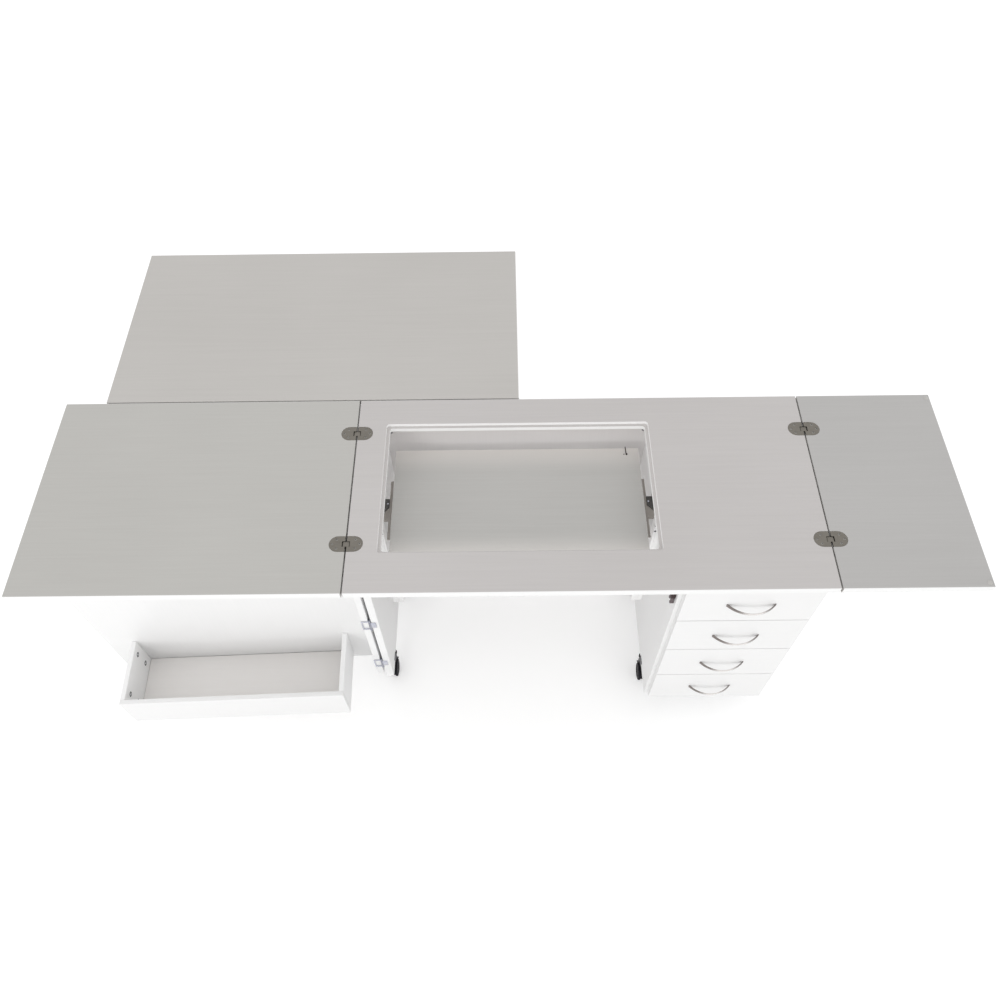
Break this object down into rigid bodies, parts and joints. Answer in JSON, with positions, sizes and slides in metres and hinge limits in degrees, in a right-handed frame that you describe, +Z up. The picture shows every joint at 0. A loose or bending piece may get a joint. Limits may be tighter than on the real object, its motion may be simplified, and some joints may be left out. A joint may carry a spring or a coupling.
{
  "type": "fold-away sewing cabinet",
  "caption": "White sewing cabinet on casters with fold-over side leaves, a sliding drop-down rear leaf, a machine lift, a drawer pedestal and a swing-out door with a storage bin.",
  "frame": {"origin": "middle of the footprint on the floor, with the leaves open and the door swung out as pictured", "axes": "+X along the length towards the short leaf, +Y towards the rear leaf, +Z up"},
  "size_m": [2.039, 1.0654, 0.768],
  "materials": {
    "laminate": "pale laminate with faint grain",
    "white_board": "white melamine board",
    "platform": "grey-white board",
    "nickel": "satin nickel plate",
    "zinc": "dull zinc plate",
    "steel": "plain steel",
    "brown_steel": "brown lacquer",
    "black_plastic": "black moulded plastic"
  },
  "bodies": {
    "cabinet": {"centre_top": "laminate", "left_front_hinge_centre_plate": "zinc", "left_rear_hinge_centre_plate": "zinc", "right_front_hinge_centre_plate": "zinc", "right_rear_hinge_centre_plate": "zinc", "left_side_panel": "white_board", "pedestal_left_panel": "white_board", "pedestal_right_panel": "white_board", "back_panel": "white_board", "pedestal_floor": "white_board", "door_hinge_lower_panel_leaf": "nickel", "door_hinge_middle_panel_leaf": "nickel", "door_hinge_upper_panel_leaf": "nickel", "door_catch": "brown_steel", "lift_frame": "white_board", "quilt_rail": "steel"},
    "left_links": {"left_front_hinge_link": "zinc", "left_rear_hinge_link": "zinc"},
    "left_leaf": {"left_leaf": "laminate", "left_front_hinge_leaf_plate": "zinc", "left_rear_hinge_leaf_plate": "zinc"},
    "right_links": {"right_front_hinge_link": "zinc", "right_rear_hinge_link": "zinc"},
    "right_leaf": {"right_leaf": "laminate", "right_front_hinge_leaf_plate": "zinc", "right_rear_hinge_leaf_plate": "zinc"},
    "door": {"door_tray": "white_board", "storage_bin": "white_board", "door_hinge_lower_door_leaf": "nickel", "door_hinge_middle_door_leaf": "nickel", "door_hinge_upper_door_leaf": "nickel"},
    "drawer_1": {"drawer_1_front": "white_board", "drawer_1_box": "white_board", "drawer_1_handle": "nickel"},
    "drawer_2": {"drawer_2_front": "white_board", "drawer_2_box": "white_board", "drawer_2_handle": "nickel"},
    "drawer_3": {"drawer_3_front": "white_board", "drawer_3_box": "white_board", "drawer_3_handle": "nickel"},
    "drawer_4": {"drawer_4_front": "white_board", "drawer_4_box": "white_board", "drawer_4_handle": "nickel"},
    "lift": {"lift_platform": "platform", "lift_carriage": "steel"},
    "quilt_carriage": {"quilt_carriage": "steel"},
    "quilt_leaf": {"quilt_leaf": "laminate", "quilt_hinge": "steel"},
    "left_front_swivel": {"left_front_caster_hood": "black_plastic"},
    "left_front_wheels": {"left_front_caster_wheels": "black_plastic"},
    "left_rear_swivel": {"left_rear_caster_hood": "black_plastic"},
    "left_rear_wheels": {"left_rear_caster_wheels": "black_plastic"},
    "middle_front_swivel": {"middle_front_caster_hood": "black_plastic"},
    "middle_front_wheels": {"middle_front_caster_wheels": "black_plastic"},
    "middle_rear_swivel": {"middle_rear_caster_hood": "black_plastic"},
    "middle_rear_wheels": {"middle_rear_caster_wheels": "black_plastic"},
    "right_front_swivel": {"right_front_caster_hood": "black_plastic"},
    "right_front_wheels": {"right_front_caster_wheels": "black_plastic"},
    "right_rear_swivel": {"right_rear_caster_hood": "black_plastic"},
    "right_rear_wheels": {"right_rear_caster_wheels": "black_plastic"}
  },
  "joints": [
    {"name": "left_link_fold", "type": "hinge", "parent": "cabinet", "child": "left_links", "pos_m": [-0.31153, -0.2313, 0.7645], "axis": [0, 1, 0], "range_deg": [0, 90]},
    {"name": "left_leaf_fold", "type": "hinge", "parent": "left_links", "child": "left_leaf", "pos_m": [-0.32253, -0.2313, 0.7645], "axis": [0, 1, 0], "range_deg": [0, 90]},
    {"name": "right_link_fold", "type": "hinge", "parent": "cabinet", "child": "right_links", "pos_m": [0.70247, -0.2313, 0.7645], "axis": [0, -1, 0], "range_deg": [0, 90]},
    {"name": "right_leaf_fold", "type": "hinge", "parent": "right_links", "child": "right_leaf", "pos_m": [0.71347, -0.2313, 0.7645], "axis": [0, -1, 0], "range_deg": [0, 90]},
    {"name": "door_swing", "type": "hinge", "parent": "cabinet", "child": "door", "pos_m": [-0.30953, -0.39521, 0.43], "axis": [0, 0, 1], "range_deg": [-1.9, 178.1]},
    {"name": "drawer_1_slide", "type": "slide", "parent": "cabinet", "child": "drawer_1", "axis": [0, -1, 0], "range_m": [0, 0.3]},
    {"name": "drawer_2_slide", "type": "slide", "parent": "cabinet", "child": "drawer_2", "axis": [0, -1, 0], "range_m": [0, 0.3]},
    {"name": "drawer_3_slide", "type": "slide", "parent": "cabinet", "child": "drawer_3", "axis": [0, -1, 0], "range_m": [0, 0.3]},
    {"name": "drawer_4_slide", "type": "slide", "parent": "cabinet", "child": "drawer_4", "axis": [0, -1, 0], "range_m": [0, 0.3]},
    {"name": "lift_slide", "type": "slide", "parent": "cabinet", "child": "lift", "axis": [0, 0, 1], "range_m": [-0.175, 0.082]},
    {"name": "quilt_slide", "type": "slide", "parent": "cabinet", "child": "quilt_carriage", "axis": [1, 0, 0], "range_m": [0, 0.626]},
    {"name": "quilt_fold", "type": "hinge", "parent": "quilt_carriage", "child": "quilt_leaf", "pos_m": [-0.12113, 0.02874, 0.746], "axis": [-1, 0, 0], "range_deg": [0, 90]},
    {"name": "left_front_swivel", "type": "hinge", "parent": "cabinet", "child": "left_front_swivel", "pos_m": [-0.29723, -0.32416, 0.07], "axis": [0, 0, 1], "continuous": true},
    {"name": "left_front_roll", "type": "hinge", "parent": "left_front_swivel", "child": "left_front_wheels", "pos_m": [-0.29723, -0.34216, 0.025], "axis": [1, 0, 0], "continuous": true},
    {"name": "left_rear_swivel", "type": "hinge", "parent": "cabinet", "child": "left_rear_swivel", "pos_m": [-0.29723, -0.06756, 0.07], "axis": [0, 0, 1], "continuous": true},
    {"name": "left_rear_roll", "type": "hinge", "parent": "left_rear_swivel", "child": "left_rear_wheels", "pos_m": [-0.29473, -0.08538, 0.025], "axis": [0.9903, 0.1392, 0], "continuous": true},
    {"name": "middle_front_swivel", "type": "hinge", "parent": "cabinet", "child": "middle_front_swivel", "pos_m": [0.40147, -0.34276, 0.07], "axis": [0, 0, 1], "continuous": true},
    {"name": "middle_front_roll", "type": "hinge", "parent": "middle_front_swivel", "child": "middle_front_wheels", "pos_m": [0.40147, -0.36076, 0.025], "axis": [1, 0, 0], "continuous": true},
    {"name": "middle_rear_swivel", "type": "hinge", "parent": "cabinet", "child": "middle_rear_swivel", "pos_m": [0.40147, -0.06756, 0.07], "axis": [0, 0, 1], "continuous": true},
    {"name": "middle_rear_roll", "type": "hinge", "parent": "middle_rear_swivel", "child": "middle_rear_wheels", "pos_m": [0.39959, -0.08546, 0.025], "axis": [0.9945, -0.1045, 0], "continuous": true},
    {"name": "right_front_swivel", "type": "hinge", "parent": "cabinet", "child": "right_front_swivel", "pos_m": [0.68947, -0.34276, 0.07], "axis": [0, 0, 1], "continuous": true},
    {"name": "right_front_roll", "type": "hinge", "parent": "right_front_swivel", "child": "right_front_wheels", "pos_m": [0.6879, -0.36069, 0.025], "axis": [0.9962, -0.0872, 0], "continuous": true},
    {"name": "right_rear_swivel", "type": "hinge", "parent": "cabinet", "child": "right_rear_swivel", "pos_m": [0.68947, -0.06756, 0.07], "axis": [0, 0, 1], "continuous": true},
    {"name": "right_rear_roll", "type": "hinge", "parent": "right_rear_swivel", "child": "right_rear_wheels", "pos_m": [0.69259, -0.08528, 0.025], "axis": [0.9848, 0.1736, 0], "continuous": true}
  ]
}
